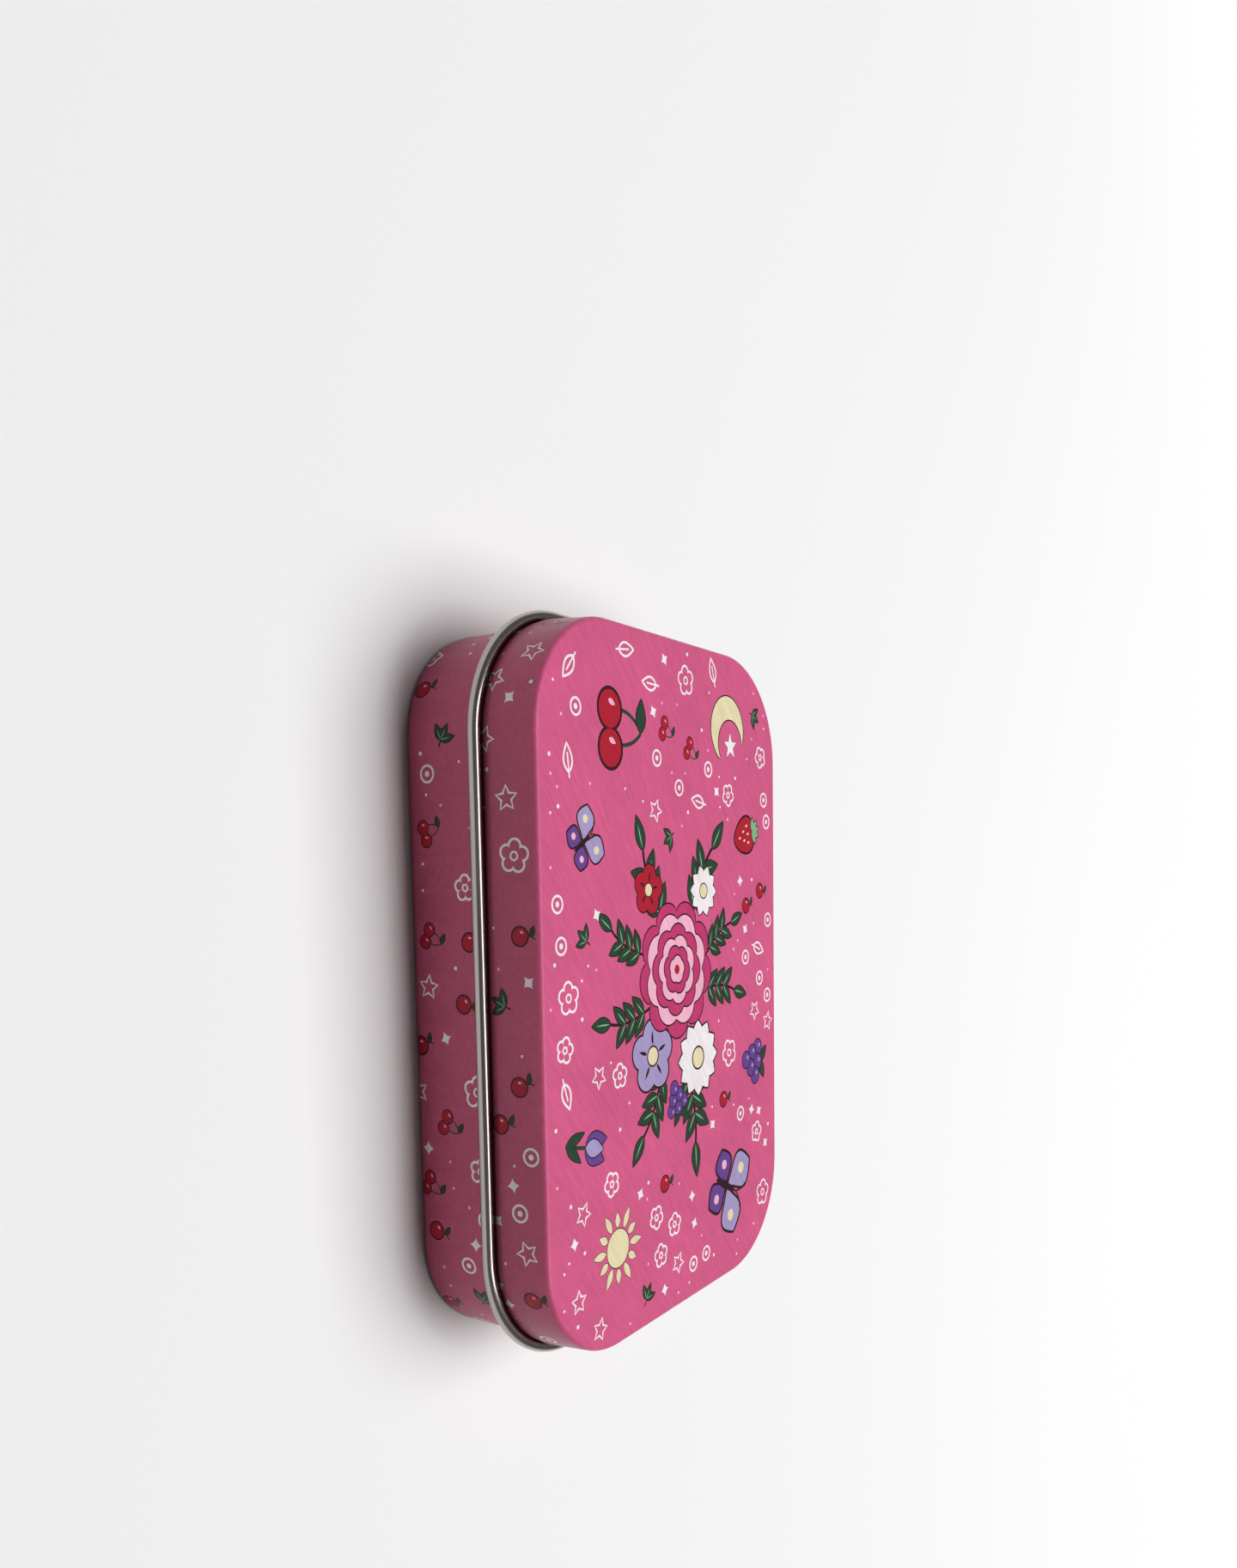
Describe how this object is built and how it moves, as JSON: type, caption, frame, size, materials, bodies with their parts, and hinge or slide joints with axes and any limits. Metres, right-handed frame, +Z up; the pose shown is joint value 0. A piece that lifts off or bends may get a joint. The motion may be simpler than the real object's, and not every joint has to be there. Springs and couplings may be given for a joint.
{
  "type": "hinged pocket tin",
  "caption": "Flat rounded-corner tin of printed sheet metal: a shallow tray with a rolled rim, and a lid with a rolled bead that swings up and back on wire hinges.",
  "frame": {"origin": "under the middle of the closed tin, on the plane that it rests on", "axes": "+X along the length, +Y from the opening side to the hinges, +Z up through the lid"},
  "size_m": [0.095, 0.064, 0.0202],
  "materials": {
    "printed_lid": "pink offset print under gloss varnish",
    "printed_base": "pink offset print under gloss varnish",
    "bare_tinplate": "bright bare tinplate on the bead and the inside",
    "steel_wire": "drawn steel wire"
  },
  "bodies": {
    "base": {"base_tray": "printed_base", "hinge_pin_left": "steel_wire", "hinge_pin_right": "steel_wire"},
    "lid": {"lid": "printed_lid"}
  },
  "joints": [
    {"name": "lid_hinge", "type": "hinge", "parent": "base", "child": "lid", "pos_m": [0, 0.02985, 0.0103], "axis": [-1, 0, 0], "range_deg": [0, 110]}
  ]
}
